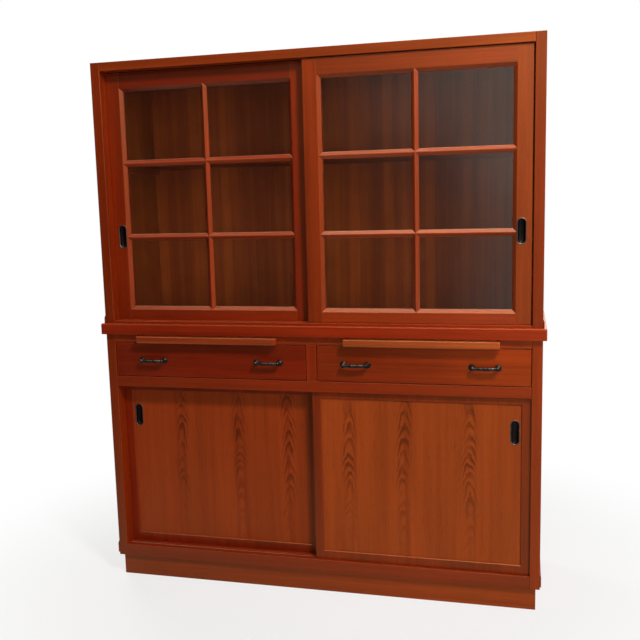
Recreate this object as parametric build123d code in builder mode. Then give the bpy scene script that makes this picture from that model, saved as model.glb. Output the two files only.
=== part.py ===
from build123d import *
import os

os.makedirs("parts", exist_ok=True)

# A two-storey kitchen cabinet, in millimetres. +X is to the right, +Z is up and the front faces -Y.
# The origin is on the floor, under the middle of the whole cabinet.

# The case
case_width = 1364.0
case_depth = 380.0
side_thickness = 30.0
edge_ease = 1.2             # small chamfer on the front edges of the boards
counter_overhang_front = 14.0
counter_overhang_side = 11.0
counter_edge_round = 5.0

# The storeys, from the floor up
plinth_height = 70.5
lower_sill_height = 38.0
lower_opening_height = 541.0
middle_rail_height = 33.0
drawer_opening_height = 112.0
board_floor_thickness = 6.5
board_slot_height = 20.0
counter_thickness = 34.5
upper_sill_height = 7.0
upper_opening_height = 778.5
head_rail_height = 26.0

# Boards of the case
plinth_inset = 12.0
plinth_thickness = 20.0
back_panel_thickness = 4.0
back_panel_recess = 6.0
back_panel_lap = 8.0
top_board_thickness = 18.0
bottom_board_thickness = 12.0
drawer_floor_thickness = 12.0
divider_thickness = 32.0
housing_depth = 8.0         # how far the boards enter the sides
housing_setback = 12.0      # how far a housing stays behind the front edge
housing_shoulder = 1.5      # above and below the tongue of a board
shelf_thickness = 16.0
shelf_setback = 14.0        # behind the door rails
shelf_gap = 1.0             # at the shelf's ends and back
cleat_size = 18.0
upper_batten_height = 24.0
lower_batten_height = 38.0
lower_batten_rise = 8.0     # above the lower edge of the side board
batten_thickness = 3.5
batten_bevel_rise = 8.0     # the bevel along a batten's upper edge, up its outer face
batten_bevel_depth = 2.5

# The tracks of the sliding doors
head_groove_depth = 16.0
sill_groove_depth = 4.5
strip_thickness = 1.0
groove_clearance = 0.3
track_lip = 8.0             # wood left behind the rear door
door_end_gap = 0.5

# The glazed upper doors
upper_door_thickness = 24.0
upper_door_recess = 9.0
upper_door_spacing = 5.0    # air between the two doors
upper_door_overlap = 8.0
upper_stile_flat = 43.0
left_meeting_flat = 55.0    # the left door's stile behind the right door
right_door_ajar = 3.0       # the right door stands this far from closed
upper_top_flat = 46.0
upper_bottom_flat = 32.2
sight_bevel = 10.5          # bevel round the glass, as wide as it is deep
glass_thickness = 3.0
glass_slack = 0.2
glass_groove_depth = 6.0
muntin_ridge_width = 2.4
tenon_length = 26.0
tenon_thickness = 7.0
tenon_shoulder = 5.0
door_head_gap = 3.0         # shoulder of a door to the head rail
door_foot_gap = 0.8         # shoulder of a door to the sill
head_tongue_height = 13.0
tongue_thickness = 10.0
pull_from_edge = 29.0
upper_pull_above_bar = 2.3  # middle of the pull above the lower muntin bar's middle

# The board doors below
lower_door_thickness = 28.0
lower_door_recess = 11.0
lower_door_spacing = 6.0
lower_door_overlap = 4.0
lower_stile_width = 27.0
lower_top_rail_height = 20.0
lower_bottom_rail_height = 27.7
lower_panel_thickness = 14.0
lower_panel_recess = 4.0
lower_panel_groove = 6.0
lower_frame_bevel = 2.0
lower_pull_from_edge = 45.0
lower_pull_below_rail = 83.5    # middle of the pull below the top rail

# Flush pulls
cup_length = 76.0
cup_width = 28.0
cup_rim = 2.0
cup_wall = 1.2
cup_depth = 9.5
cup_proud = 0.8
cup_clearance = 0.2

# Drawers
drawer_gap = 1.5
drawer_recess = 1.0
drawer_front_thickness = 20.0
drawer_side_thickness = 10.0
drawer_side_height = 90.0
drawer_box_length = 330.0
drawer_bottom_thickness = 5.0
drawer_bottom_rise = 8.0
drawer_groove = 5.0
drawer_running_gap = 0.5

# Bow pulls of the drawers
bow_spacing = 75.0
bow_pitch = 383.0           # between the two pulls of a drawer
bow_inset = 5.0             # the pair sits this much nearer the cabinet's middle
bow_drop = 1.0              # below the middle of the drawer front
rosette_radius = 10.0
rosette_thickness = 3.5
bow_post_radius = 4.5
bow_reach = 18.0            # middle of the post's end, in front of the drawer
bow_swell = 5.0             # the bar's middle reaches this much further
bow_radius = 4.6
bow_end_overrun = 4.0

# Pull-out serving boards
serving_board_width = 436.0
serving_board_length = 330.0
serving_board_thickness = 17.0
serving_board_gap = 0.4
serving_side_gap = 1.0
grip_length = 458.0
grip_height = 22.0
grip_projection = 30.0
grip_round = 8.0
grip_case_gap = 0.5
grip_drop = 6.0             # the grip hangs below the board slot's floor line

# Levels
lower_case_bottom = plinth_height
lower_sill_top = lower_case_bottom + lower_sill_height
lower_head = lower_sill_top + lower_opening_height
drawer_floor_top = lower_head + middle_rail_height
board_floor_bottom = drawer_floor_top + drawer_opening_height
slot_bottom = board_floor_bottom + board_floor_thickness
counter_bottom = slot_bottom + board_slot_height
counter_top = counter_bottom + counter_thickness
upper_sill_top = counter_top + upper_sill_height
upper_head = upper_sill_top + upper_opening_height
cabinet_height = upper_head + head_rail_height

# Places across and from front to back
half_width = case_width / 2
half_opening = half_width - side_thickness
front_y = grip_projection - (case_depth + grip_projection) / 2
back_y = front_y + case_depth
panel_front_y = back_y - back_panel_recess - back_panel_thickness
upper_rear_y = front_y + upper_door_recess + upper_door_thickness + upper_door_spacing
upper_rail_back_y = upper_rear_y + upper_door_thickness + track_lip
lower_rear_y = front_y + lower_door_recess + lower_door_thickness + lower_door_spacing
lower_rail_back_y = lower_rear_y + lower_door_thickness + track_lip
drawer_opening_width = half_opening - divider_thickness / 2
drawer_centre = (half_opening + divider_thickness / 2) / 2
groove_width = tongue_thickness + 2 * groove_clearance


def save(part, label):
    part.label = label
    export_step(part, f"parts/{label}.step")


def save_group(pieces, label):
    save(Compound(label=label, children=[piece.part for piece in pieces]), label)


def block(x0, x1, y0, y1, z0, z1, mode=Mode.ADD):
    with Locations(((x0 + x1) / 2, (y0 + y1) / 2, (z0 + z1) / 2)):
        Box(x1 - x0, y1 - y0, z1 - z0, mode=mode)


def housed_board(label, y0, y1, z0, z1, housings, grooves=(), groove_depth=0.0, grooves_up=True):
    """A board or rail across the case, with a tongue at each end that enters the side boards."""
    tongue_z = (z0 + housing_shoulder, z1 - housing_shoulder)
    tongue_y = (max(y0, front_y + housing_setback), y1)
    with BuildPart() as board:
        with BuildSketch(Plane.YZ):
            with Locations(((y0 + y1) / 2, (z0 + z1) / 2)):
                Rectangle(y1 - y0, z1 - z0)
            for groove_y in grooves:
                groove_z = z1 - groove_depth / 2 if grooves_up else z0 + groove_depth / 2
                with Locations((groove_y, groove_z)):
                    Rectangle(groove_width, groove_depth, mode=Mode.SUBTRACT)
        extrude(amount=half_opening, both=True)
        for side in (-1, 1):
            tongue_x = sorted((side * half_opening, side * (half_opening + housing_depth)))
            block(*tongue_x, *tongue_y, *tongue_z)
            for groove_y in grooves:
                groove_z = (z1 - groove_depth, z1) if grooves_up else (z0, z0 + groove_depth)
                block(*tongue_x, groove_y - groove_width / 2, groove_y + groove_width / 2,
                      *groove_z, mode=Mode.SUBTRACT)
    housings.append((*tongue_y, *tongue_z))
    save(board.part, label)


def side_board(label, side, z0, z1, housings, panel_top):
    """An upright side, rebated for the back panel and housed for the boards that it carries."""
    inner_x = side * half_opening
    outer_x = side * half_width
    housing_x = sorted((inner_x, inner_x + side * housing_depth))
    with BuildPart() as board:
        with BuildSketch(Plane.XY.offset(z0)):
            with Locations(((inner_x + outer_x) / 2, (front_y + back_y) / 2)):
                Rectangle(side_thickness, case_depth)
        extrude(amount=z1 - z0)
        chamfer(board.edges().filter_by(Axis.Z).group_by(Axis.Y)[0], edge_ease)
        for housing in housings:
            block(*housing_x, *housing, mode=Mode.SUBTRACT)
        block(*sorted((inner_x, inner_x + side * back_panel_lap)), panel_front_y, back_y, z0, panel_top,
              mode=Mode.SUBTRACT)
    save(board.part, label)


def back_panel(label, z0, z1):
    half_panel = half_opening + back_panel_lap
    with BuildPart() as panel:
        with BuildSketch(Plane.XZ.offset(-panel_front_y)):
            with Locations((0, (z0 + z1) / 2)):
                Rectangle(2 * half_panel, z1 - z0)
        extrude(amount=-back_panel_thickness)
    save(panel.part, label)


# Middle lines of the tracks, front and rear
upper_tracks = [face_y + upper_door_thickness / 2 for face_y in (front_y + upper_door_recess, upper_rear_y)]
lower_tracks = [face_y + lower_door_thickness / 2 for face_y in (front_y + lower_door_recess, lower_rear_y)]

# Plinth: four boards on edge
plinth_half = half_width - plinth_inset
plinth_front_y = front_y + plinth_inset
plinth_boards = []
for board_y in (plinth_front_y, back_y - plinth_thickness):
    with BuildPart() as plinth_long:
        with BuildSketch(Plane.XY):
            with Locations((0, board_y + plinth_thickness / 2)):
                Rectangle(2 * plinth_half, plinth_thickness)
        extrude(amount=plinth_height)
        chamfer(plinth_long.edges().filter_by(Axis.X).group_by(Axis.Z)[0], edge_ease)
    plinth_boards.append(plinth_long)
for side in (-1, 1):
    with BuildPart() as plinth_short:
        with BuildSketch(Plane.XY):
            with Locations((side * (plinth_half - plinth_thickness / 2), (plinth_front_y + back_y) / 2)):
                Rectangle(plinth_thickness, back_y - plinth_front_y - 2 * plinth_thickness)
        extrude(amount=plinth_height)
    plinth_boards.append(plinth_short)
save_group(plinth_boards, "plinth")

# Lower case
lower_housings = []
housed_board("lower_sill_rail", front_y, lower_rail_back_y, lower_case_bottom, lower_sill_top,
             lower_housings, lower_tracks, sill_groove_depth)
housed_board("lower_bottom_board", lower_rail_back_y, panel_front_y,
             lower_sill_top - sill_groove_depth - bottom_board_thickness, lower_sill_top - sill_groove_depth,
             lower_housings)
housed_board("middle_rail", front_y, lower_rail_back_y, lower_head, drawer_floor_top,
             lower_housings, lower_tracks, head_groove_depth, grooves_up=False)
housed_board("drawer_floor", lower_rail_back_y, panel_front_y,
             drawer_floor_top - drawer_floor_thickness, drawer_floor_top, lower_housings)
housed_board("board_floor", front_y, panel_front_y, board_floor_bottom, slot_bottom, lower_housings)
side_board("lower_side_left", -1, lower_case_bottom, counter_bottom, lower_housings, counter_bottom)
side_board("lower_side_right", 1, lower_case_bottom, counter_bottom, lower_housings, counter_bottom)
back_panel("lower_back_panel", lower_case_bottom, counter_bottom)

with BuildPart() as drawer_divider:
    with BuildSketch(Plane.XY.offset(drawer_floor_top)):
        with Locations((0, (front_y + panel_front_y) / 2)):
            Rectangle(divider_thickness, panel_front_y - front_y)
    extrude(amount=drawer_opening_height)
    chamfer(drawer_divider.edges().filter_by(Axis.Z).group_by(Axis.Y)[0], edge_ease)
save(drawer_divider.part, "drawer_divider")

# Spacers that frame the two board slots: one between the slots and one at each side
slot_half = serving_board_width / 2 + serving_side_gap
with BuildPart() as board_guides:
    for guide_x0, guide_x1 in (
        (-half_opening, -drawer_centre - slot_half),
        (-drawer_centre + slot_half, drawer_centre - slot_half),
        (drawer_centre + slot_half, half_opening),
    ):
        with BuildSketch(Plane.XY.offset(slot_bottom)):
            with Locations(((guide_x0 + guide_x1) / 2, (front_y + panel_front_y) / 2)):
                Rectangle(guide_x1 - guide_x0, panel_front_y - front_y)
        extrude(amount=board_slot_height)
save(board_guides.part, "board_guides")

# Counter board: the top of the lower case, on which the upper case stands
counter_front_y = front_y - counter_overhang_front
with BuildPart() as counter_board:
    with BuildSketch(Plane.XY.offset(counter_bottom)):
        with Locations((0, (counter_front_y + back_y) / 2)):
            Rectangle(case_width + 2 * counter_overhang_side, back_y - counter_front_y)
    extrude(amount=counter_thickness)
    front_corners = counter_board.edges().filter_by(Axis.Z).group_by(Axis.Y)[0]
    fillet(front_corners, counter_edge_round)
    top_rim = counter_board.faces().sort_by(Axis.Z)[-1].edges()
    fillet(top_rim.sort_by(Axis.Y)[:-1], counter_edge_round * 0.9)
save(counter_board.part, "counter_board")

# Upper case
upper_housings = []
housed_board("upper_head_rail", front_y, upper_rail_back_y, upper_head, cabinet_height,
             upper_housings, upper_tracks, head_groove_depth, grooves_up=False)
upper_panel_top = cabinet_height - top_board_thickness
housed_board("upper_top_board", upper_rail_back_y, back_y, upper_panel_top, cabinet_height, upper_housings)
side_board("upper_side_left", -1, counter_top, cabinet_height, upper_housings, upper_panel_top)
side_board("upper_side_right", 1, counter_top, cabinet_height, upper_housings, upper_panel_top)
back_panel("upper_back_panel", counter_top, upper_panel_top)

with BuildPart() as upper_sill:
    with BuildSketch(Plane.YZ):
        with Locations(((front_y + upper_rail_back_y) / 2, (counter_top + upper_sill_top) / 2)):
            Rectangle(upper_rail_back_y - front_y, upper_sill_height)
        for track_y in upper_tracks:
            with Locations((track_y, upper_sill_top - sill_groove_depth / 2)):
                Rectangle(groove_width, sill_groove_depth, mode=Mode.SUBTRACT)
    extrude(amount=half_opening, both=True)
save(upper_sill.part, "upper_sill")

# Slip strips at the bottom of the four sill grooves
with BuildPart() as track_strips:
    for sill_top, tracks in ((upper_sill_top, upper_tracks), (lower_sill_top, lower_tracks)):
        for track_y in tracks:
            strip_bottom = sill_top - sill_groove_depth
            block(-half_opening, half_opening, track_y - tongue_thickness / 2,
                  track_y + tongue_thickness / 2, strip_bottom, strip_bottom + strip_thickness)
save(track_strips.part, "track_strips")

# Battens nailed along the foot of each side, their upper edges bevelled off
battens = []
for side in (-1, 1):
    batten_x = sorted((side * half_width, side * (half_width + batten_thickness)))
    for batten_z, batten_height in (
        (counter_top, upper_batten_height),
        (lower_case_bottom + lower_batten_rise, lower_batten_height),
    ):
        with BuildPart() as batten:
            block(*batten_x, front_y, back_y, batten_z, batten_z + batten_height)
            upper_edges = batten.edges().filter_by(Axis.Y).group_by(Axis.Z)[-1].sort_by(Axis.X)
            outer_face = batten.faces().sort_by(Axis.X)[0 if side < 0 else -1]
            chamfer(upper_edges[0 if side < 0 else -1], batten_bevel_rise, batten_bevel_depth,
                    reference=outer_face)
        battens.append(batten)
save_group(battens, "side_battens")

# Upper door heights, shared by the two doors and the shelf behind them
upper_foot = upper_sill_top + door_foot_gap
upper_shoulder = upper_head - door_head_gap
sight_bottom = upper_foot + upper_bottom_flat + sight_bevel
sight_top = upper_shoulder - upper_top_flat - sight_bevel
pane_height = (sight_top - sight_bottom - 4 * sight_bevel) / 3
muntin_levels = [sight_bottom + pane_height + sight_bevel, sight_top - pane_height - sight_bevel]
upper_pull_z = muntin_levels[0] + upper_pull_above_bar

# Shelf behind the upper muntins, on a cleat at each end
shelf_top = muntin_levels[1] + shelf_thickness / 2
shelf_bottom = shelf_top - shelf_thickness
shelf_front_y = upper_rail_back_y + shelf_setback
with BuildPart() as upper_shelf:
    with BuildSketch(Plane.XY.offset(shelf_bottom)):
        with Locations((0, (shelf_front_y + panel_front_y - shelf_gap) / 2)):
            Rectangle(2 * (half_opening - shelf_gap), panel_front_y - shelf_gap - shelf_front_y)
    extrude(amount=shelf_thickness)
    fillet(upper_shelf.edges().filter_by(Axis.X).group_by(Axis.Y)[0], shelf_thickness / 8)
save(upper_shelf.part, "upper_shelf")

with BuildPart() as shelf_cleats:
    for side in (-1, 1):
        cleat_x = sorted((side * half_opening, side * (half_opening - cleat_size)))
        block(*cleat_x, shelf_front_y + cleat_size, panel_front_y, shelf_bottom - cleat_size, shelf_bottom)
save(shelf_cleats.part, "shelf_cleats")


def flush_pull(label, centre_x, centre_z, face_y):
    """An oval cup let into a door, with a thin rim on the door's face."""
    face = Plane.XZ.offset(-face_y).shift_origin((centre_x, face_y, centre_z))
    body_length = cup_length - 2 * cup_rim
    body_width = cup_width - 2 * cup_rim
    with BuildPart() as pull:
        with BuildSketch(face):
            SlotOverall(cup_length, cup_width, rotation=90)
        extrude(amount=cup_proud)
        fillet(pull.faces().sort_by(Axis.Y)[0].outer_wire().edges(), cup_proud * 0.6)
        with BuildSketch(face):
            SlotOverall(body_length, body_width, rotation=90)
        extrude(amount=-cup_depth)
        with BuildSketch(face.offset(cup_proud)):
            SlotOverall(body_length - 2 * cup_wall, body_width - 2 * cup_wall, rotation=90)
        extrude(amount=-(cup_depth + cup_proud - cup_wall), mode=Mode.SUBTRACT)
    save(pull.part, label)


def pull_pocket(centre_x, centre_z, face_y):
    """Cuts the pocket of a flush pull into the piece being made."""
    face = Plane.XZ.offset(-face_y).shift_origin((centre_x, face_y, centre_z))
    with BuildSketch(face) as pocket:
        pocket_margin = 2 * (cup_clearance - cup_rim)
        SlotOverall(cup_length + pocket_margin, cup_width + pocket_margin, rotation=90)
    extrude(pocket.sketch, amount=-(cup_depth + cup_clearance), mode=Mode.SUBTRACT)


def upper_door(name, side, front, meeting_flat, ajar):
    """A glazed door. side is -1 on the left and +1 on the right; front is its face's y."""
    width = half_opening - door_end_gap + upper_door_overlap / 2
    outer_x = side * (half_opening - door_end_gap - ajar)
    inner_x = outer_x - side * width
    track_y = front + upper_door_thickness / 2
    glass_front = front + sight_bevel + glass_slack
    glass_groove_y = (glass_front - glass_slack, glass_front + glass_thickness + glass_slack)
    tenon_y = (glass_groove_y[1], glass_groove_y[1] + tenon_thickness)
    tongue_y = (track_y - tongue_thickness / 2, track_y + tongue_thickness / 2)
    foot_tongue = sill_groove_depth - strip_thickness - groove_clearance + door_foot_gap
    bottom_flat = upper_foot + upper_bottom_flat
    top_flat = upper_shoulder - upper_top_flat
    sight_x = sorted((outer_x - side * (upper_stile_flat + sight_bevel),
                      inner_x + side * (meeting_flat + sight_bevel)))
    flat_x = (sight_x[0] - sight_bevel, sight_x[1] + sight_bevel)
    tenons = (
        (upper_foot + tenon_shoulder, bottom_flat - tenon_shoulder),
        (top_flat + tenon_shoulder, upper_shoulder - tenon_shoulder),
    )
    face = Plane.XZ.offset(-front)

    # Stiles: full height, their bevel mitred into the rails'
    for stile_name, edge_x, inward, stile_flat in (
        ("outer_stile", outer_x, -side, upper_stile_flat),
        ("inner_stile", inner_x, side, meeting_flat),
    ):
        flat = edge_x + inward * stile_flat
        sight = flat + inward * sight_bevel
        with BuildPart() as stile:
            with BuildSketch(face):
                with BuildLine():
                    Polyline(
                        (edge_x, upper_foot), (flat, upper_foot), (flat, bottom_flat), (sight, sight_bottom),
                        (sight, sight_top), (flat, top_flat), (flat, upper_shoulder),
                        (edge_x, upper_shoulder), close=True,
                    )
                make_face()
            extrude(amount=-upper_door_thickness)
            sight_edges = stile.edges().filter_by(Axis.Z).group_by(Axis.Y)[0]
            chamfer(sight_edges.sort_by(Axis.X)[0 if inward < 0 else -1], sight_bevel)
            block(*sorted((edge_x, flat)), *tongue_y, upper_shoulder, upper_shoulder + head_tongue_height)
            block(*sorted((edge_x, flat)), *tongue_y, upper_foot - foot_tongue, upper_foot)
            block(*sorted((sight, sight - inward * glass_groove_depth)), *glass_groove_y,
                  sight_bottom - glass_groove_depth, sight_top + glass_groove_depth, mode=Mode.SUBTRACT)
            for tenon_z in tenons:
                block(*sorted((flat, flat - inward * tenon_length)), *tenon_y, *tenon_z, mode=Mode.SUBTRACT)
            if stile_name == "outer_stile":
                pull_pocket(edge_x + inward * pull_from_edge, upper_pull_z, front)
        save(stile.part, f"{name}_{stile_name}")

    # Rails: between the stiles, with a tenon at each end
    for rail_name, edge_z, flat_z, sight_z, tenon_z, tongue_height in (
        ("bottom_rail", upper_foot, bottom_flat, sight_bottom, tenons[0], -foot_tongue),
        ("top_rail", upper_shoulder, top_flat, sight_top, tenons[1], head_tongue_height),
    ):
        with BuildPart() as rail:
            with BuildSketch(face):
                with BuildLine():
                    Polyline(
                        (flat_x[0], edge_z), (flat_x[1], edge_z), (flat_x[1], flat_z),
                        (sight_x[1], sight_z), (sight_x[0], sight_z), (flat_x[0], flat_z), close=True,
                    )
                make_face()
            extrude(amount=-upper_door_thickness)
            sight_edges = rail.edges().filter_by(Axis.X).group_by(Axis.Y)[0].sort_by(Axis.Z)
            chamfer(sight_edges[-1] if rail_name == "bottom_rail" else sight_edges[0], sight_bevel)
            block(*flat_x, *tongue_y, *sorted((edge_z, edge_z + tongue_height)))
            groove_z = (sight_z - glass_groove_depth, sight_z + glass_groove_depth)
            block(sight_x[0] - glass_groove_depth, sight_x[1] + glass_groove_depth, *glass_groove_y,
                  *groove_z, mode=Mode.SUBTRACT)
            block(flat_x[0] - tenon_length, flat_x[0], *tenon_y, *tenon_z)
            block(flat_x[1], flat_x[1] + tenon_length, *tenon_y, *tenon_z)
        save(rail.part, f"{name}_{rail_name}")

    # Glass: one sheet in the grooves, standing on the lower groove
    glass_edge = glass_groove_depth - 2 * glass_slack
    with BuildPart() as glass:
        block(sight_x[0] - glass_edge, sight_x[1] + glass_edge, glass_front, glass_front + glass_thickness,
              sight_bottom - glass_groove_depth, sight_top + glass_edge)
    save(glass.part, f"{name}_glass")

    # Muntins: ridged bars in front of the glass, their ends mitred to the bevels that they meet
    centre_x = (sight_x[0] + sight_x[1]) / 2
    base_y = front + sight_bevel
    ridge_half = muntin_ridge_width / 2
    ridge_y = front + ridge_half
    with BuildPart() as upright:
        with BuildSketch(Plane.XY.offset(bottom_flat)):
            with BuildLine():
                Polyline(
                    (centre_x - sight_bevel, base_y), (centre_x + sight_bevel, base_y),
                    (centre_x + ridge_half, ridge_y), (centre_x - ridge_half, ridge_y), close=True,
                )
            make_face()
        extrude(amount=top_flat - bottom_flat)
        with BuildSketch(Plane.YZ.offset(centre_x)):
            with BuildLine():
                Polyline(
                    (base_y, sight_bottom), (base_y, sight_top), (front, top_flat), (front, bottom_flat),
                    close=True,
                )
            make_face()
        extrude(amount=2 * sight_bevel, both=True, mode=Mode.INTERSECT)
    save(upright.part, f"{name}_muntin_upright")

    bars = []
    for level in muntin_levels:
        for start_x, end_x in (
            (sight_x[0], centre_x - sight_bevel),
            (centre_x + sight_bevel, sight_x[1]),
        ):
            with BuildPart() as bar:
                with BuildSketch(Plane.YZ.offset(start_x - sight_bevel)):
                    with BuildLine():
                        Polyline(
                            (base_y, level - sight_bevel), (base_y, level + sight_bevel),
                            (ridge_y, level + ridge_half), (ridge_y, level - ridge_half), close=True,
                        )
                    make_face()
                extrude(amount=end_x - start_x + 2 * sight_bevel)
                with BuildSketch(Plane.XY.offset(level)):
                    with BuildLine():
                        Polyline(
                            (start_x, base_y), (end_x, base_y), (end_x + sight_bevel, front),
                            (start_x - sight_bevel, front), close=True,
                        )
                    make_face()
                extrude(amount=2 * sight_bevel, both=True, mode=Mode.INTERSECT)
            bars.append(bar)
    save_group(bars, f"{name}_muntin_bars")

    flush_pull(f"{name}_pull", outer_x - side * pull_from_edge, upper_pull_z, front)


def lower_door(name, side, front):
    """A framed board door. side is -1 on the left and +1 on the right; front is its face's y."""
    foot = lower_sill_top + door_foot_gap
    shoulder = lower_head - door_head_gap
    width = half_opening - door_end_gap + lower_door_overlap / 2
    outer_x = side * (half_opening - door_end_gap)
    edges_x = sorted((outer_x, outer_x - side * width))
    inner_x = (edges_x[0] + lower_stile_width, edges_x[1] - lower_stile_width)
    opening_z = (foot + lower_bottom_rail_height, shoulder - lower_top_rail_height)
    pull_z = opening_z[1] - lower_pull_below_rail
    track_y = front + lower_door_thickness / 2
    tongue_y = (track_y - tongue_thickness / 2, track_y + tongue_thickness / 2)
    foot_tongue = sill_groove_depth - strip_thickness - groove_clearance + door_foot_gap
    panel_y = (front + lower_panel_recess, front + lower_panel_recess + lower_panel_thickness)
    face = Plane.XZ.offset(-front)

    pieces = []
    for piece_x, piece_z in (
        ((edges_x[0], inner_x[0]), (foot, shoulder)),
        ((inner_x[1], edges_x[1]), (foot, shoulder)),
        (inner_x, (foot, opening_z[0])),
        (inner_x, (opening_z[1], shoulder)),
    ):
        with BuildPart() as piece:
            with BuildSketch(face):
                with Locations(((piece_x[0] + piece_x[1]) / 2, (piece_z[0] + piece_z[1]) / 2)):
                    Rectangle(piece_x[1] - piece_x[0], piece_z[1] - piece_z[0])
            extrude(amount=-lower_door_thickness)
            if piece_z[0] == foot:
                block(*piece_x, *tongue_y, foot - foot_tongue, foot)
            if piece_z[1] == shoulder:
                block(*piece_x, *tongue_y, shoulder, shoulder + head_tongue_height)
            block(inner_x[0] - lower_panel_groove, inner_x[1] + lower_panel_groove, *panel_y,
                  opening_z[0] - lower_panel_groove, opening_z[1] + lower_panel_groove, mode=Mode.SUBTRACT)
            # the bevel round the panel, cut by one tapered block so that its corners are mitred
            with BuildSketch(face) as wide:
                with Locations(((inner_x[0] + inner_x[1]) / 2, (opening_z[0] + opening_z[1]) / 2)):
                    Rectangle(inner_x[1] - inner_x[0] + 2 * lower_frame_bevel,
                              opening_z[1] - opening_z[0] + 2 * lower_frame_bevel)
            extrude(wide.sketch, amount=-lower_frame_bevel, taper=45, mode=Mode.SUBTRACT)
        pieces.append(piece)
    save_group(pieces, f"{name}_frame")

    with BuildPart() as panel:
        block(inner_x[0] - lower_panel_groove, inner_x[1] + lower_panel_groove, *panel_y,
              opening_z[0] - lower_panel_groove, opening_z[1] + lower_panel_groove)
        pull_pocket(outer_x - side * lower_pull_from_edge, pull_z, panel_y[0])
    save(panel.part, f"{name}_panel")

    flush_pull(f"{name}_pull", outer_x - side * lower_pull_from_edge, pull_z, panel_y[0])


def drawer(name, side):
    """A drawer: a front with its bow pulls, and a plain box behind it. side is -1 or +1, as above."""
    centre_x = side * drawer_centre
    front = front_y + drawer_recess
    front_back_y = front + drawer_front_thickness
    box_back_y = front_back_y + drawer_box_length
    half_front = drawer_opening_width / 2 - drawer_gap
    front_z = (drawer_floor_top + drawer_gap, board_floor_bottom - drawer_gap)
    box_foot = drawer_floor_top + drawer_running_gap
    box_z = (box_foot, box_foot + drawer_side_height)
    bottom_z = (box_foot + drawer_bottom_rise, box_foot + drawer_bottom_rise + drawer_bottom_thickness)
    lap = drawer_front_thickness / 2    # the sides enter the front this far
    inner_half = half_front - drawer_side_thickness

    with BuildPart() as drawer_front:
        with BuildSketch(Plane.XZ.offset(-front)):
            with Locations((centre_x, (front_z[0] + front_z[1]) / 2)):
                Rectangle(2 * half_front, front_z[1] - front_z[0])
        extrude(amount=-drawer_front_thickness)
        chamfer(drawer_front.faces().sort_by(Axis.Y)[0].edges(), edge_ease)
        for end in (-1, 1):
            lap_x = sorted((centre_x + end * inner_half, centre_x + end * half_front))
            block(*lap_x, front_back_y - lap, front_back_y, front_z[0], box_z[1], mode=Mode.SUBTRACT)
        block(centre_x - inner_half, centre_x + inner_half, front_back_y - drawer_groove, front_back_y,
              *bottom_z, mode=Mode.SUBTRACT)
    save(drawer_front.part, f"{name}_front")

    for end_name, end in (("left", -1), ("right", 1)):
        side_x = sorted((centre_x + end * inner_half, centre_x + end * half_front))
        groove_x = sorted((centre_x + end * inner_half, centre_x + end * (inner_half + drawer_groove)))
        with BuildPart() as drawer_side:
            with BuildSketch(Plane.XY.offset(box_z[0])):
                with Locations(((side_x[0] + side_x[1]) / 2, (front_back_y - lap + box_back_y) / 2)):
                    Rectangle(drawer_side_thickness, box_back_y - front_back_y + lap)
            extrude(amount=drawer_side_height)
            block(*groove_x, front_back_y - lap, box_back_y, *bottom_z, mode=Mode.SUBTRACT)
        save(drawer_side.part, f"{name}_{end_name}_side")

    with BuildPart() as drawer_back:
        block(centre_x - inner_half, centre_x + inner_half, box_back_y - drawer_side_thickness, box_back_y,
              bottom_z[1], box_z[1])
    save(drawer_back.part, f"{name}_back")

    with BuildPart() as drawer_bottom:
        block(centre_x - inner_half - drawer_groove, centre_x + inner_half + drawer_groove,
              front_back_y, box_back_y, *bottom_z)
        block(centre_x - inner_half, centre_x + inner_half, front_back_y - drawer_groove, front_back_y,
              *bottom_z)
    save(drawer_bottom.part, f"{name}_bottom")

    # Bow pulls: two rosettes, two posts and a bar that swells forward
    pull_z = (front_z[0] + front_z[1]) / 2 - bow_drop
    pair_x = centre_x - side * bow_inset
    post_y = front - bow_reach
    with BuildPart() as pulls:
        for pull_x in (pair_x - bow_pitch / 2, pair_x + bow_pitch / 2):
            post_xs = (pull_x - bow_spacing / 2, pull_x + bow_spacing / 2)
            for post_x in post_xs:
                face = Plane.XZ.offset(-front).shift_origin((post_x, front, pull_z))
                with BuildSketch(face):
                    Circle(rosette_radius)
                extrude(amount=rosette_thickness, taper=25)
                with BuildSketch(face):
                    Circle(bow_post_radius)
                extrude(amount=bow_reach)
            end_x = (post_xs[0] - bow_end_overrun, post_xs[1] + bow_end_overrun)
            with BuildLine(Plane.XY.offset(pull_z)) as bow_path:
                ThreePointArc((end_x[0], post_y), (pull_x, post_y - bow_swell), (end_x[1], post_y))
            with BuildSketch(Plane(bow_path.line @ 0, z_dir=bow_path.line % 0)):
                Circle(bow_radius)
            sweep(path=bow_path.line)
    save(pulls.part, f"{name}_pulls")


def serving_board(name, centre_x):
    """A board that pulls out under the counter, with a rounded grip along its front."""
    board_bottom = slot_bottom + serving_board_gap
    grip_z = (slot_bottom - grip_drop, slot_bottom - grip_drop + grip_height)
    grip_back_y = front_y - grip_case_gap
    with BuildPart() as board:
        with BuildSketch(Plane.XY.offset(board_bottom)):
            with Locations((centre_x, grip_back_y + serving_board_length / 2)):
                Rectangle(serving_board_width, serving_board_length)
        extrude(amount=serving_board_thickness)
    save(board.part, f"{name}_board")

    with BuildPart() as grip:
        with BuildSketch(Plane.YZ.offset(centre_x)) as grip_profile:
            with Locations(((front_y - grip_projection + grip_back_y) / 2, (grip_z[0] + grip_z[1]) / 2)):
                Rectangle(grip_projection - grip_case_gap, grip_height)
            fillet(grip_profile.vertices().group_by(Axis.Y)[0], grip_round)
        extrude(amount=grip_length / 2, both=True)
        for end_face in (grip.faces().sort_by(Axis.X)[0], grip.faces().sort_by(Axis.X)[-1]):
            chamfer(end_face.edges(), edge_ease)
    save(grip.part, f"{name}_grip")


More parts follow.
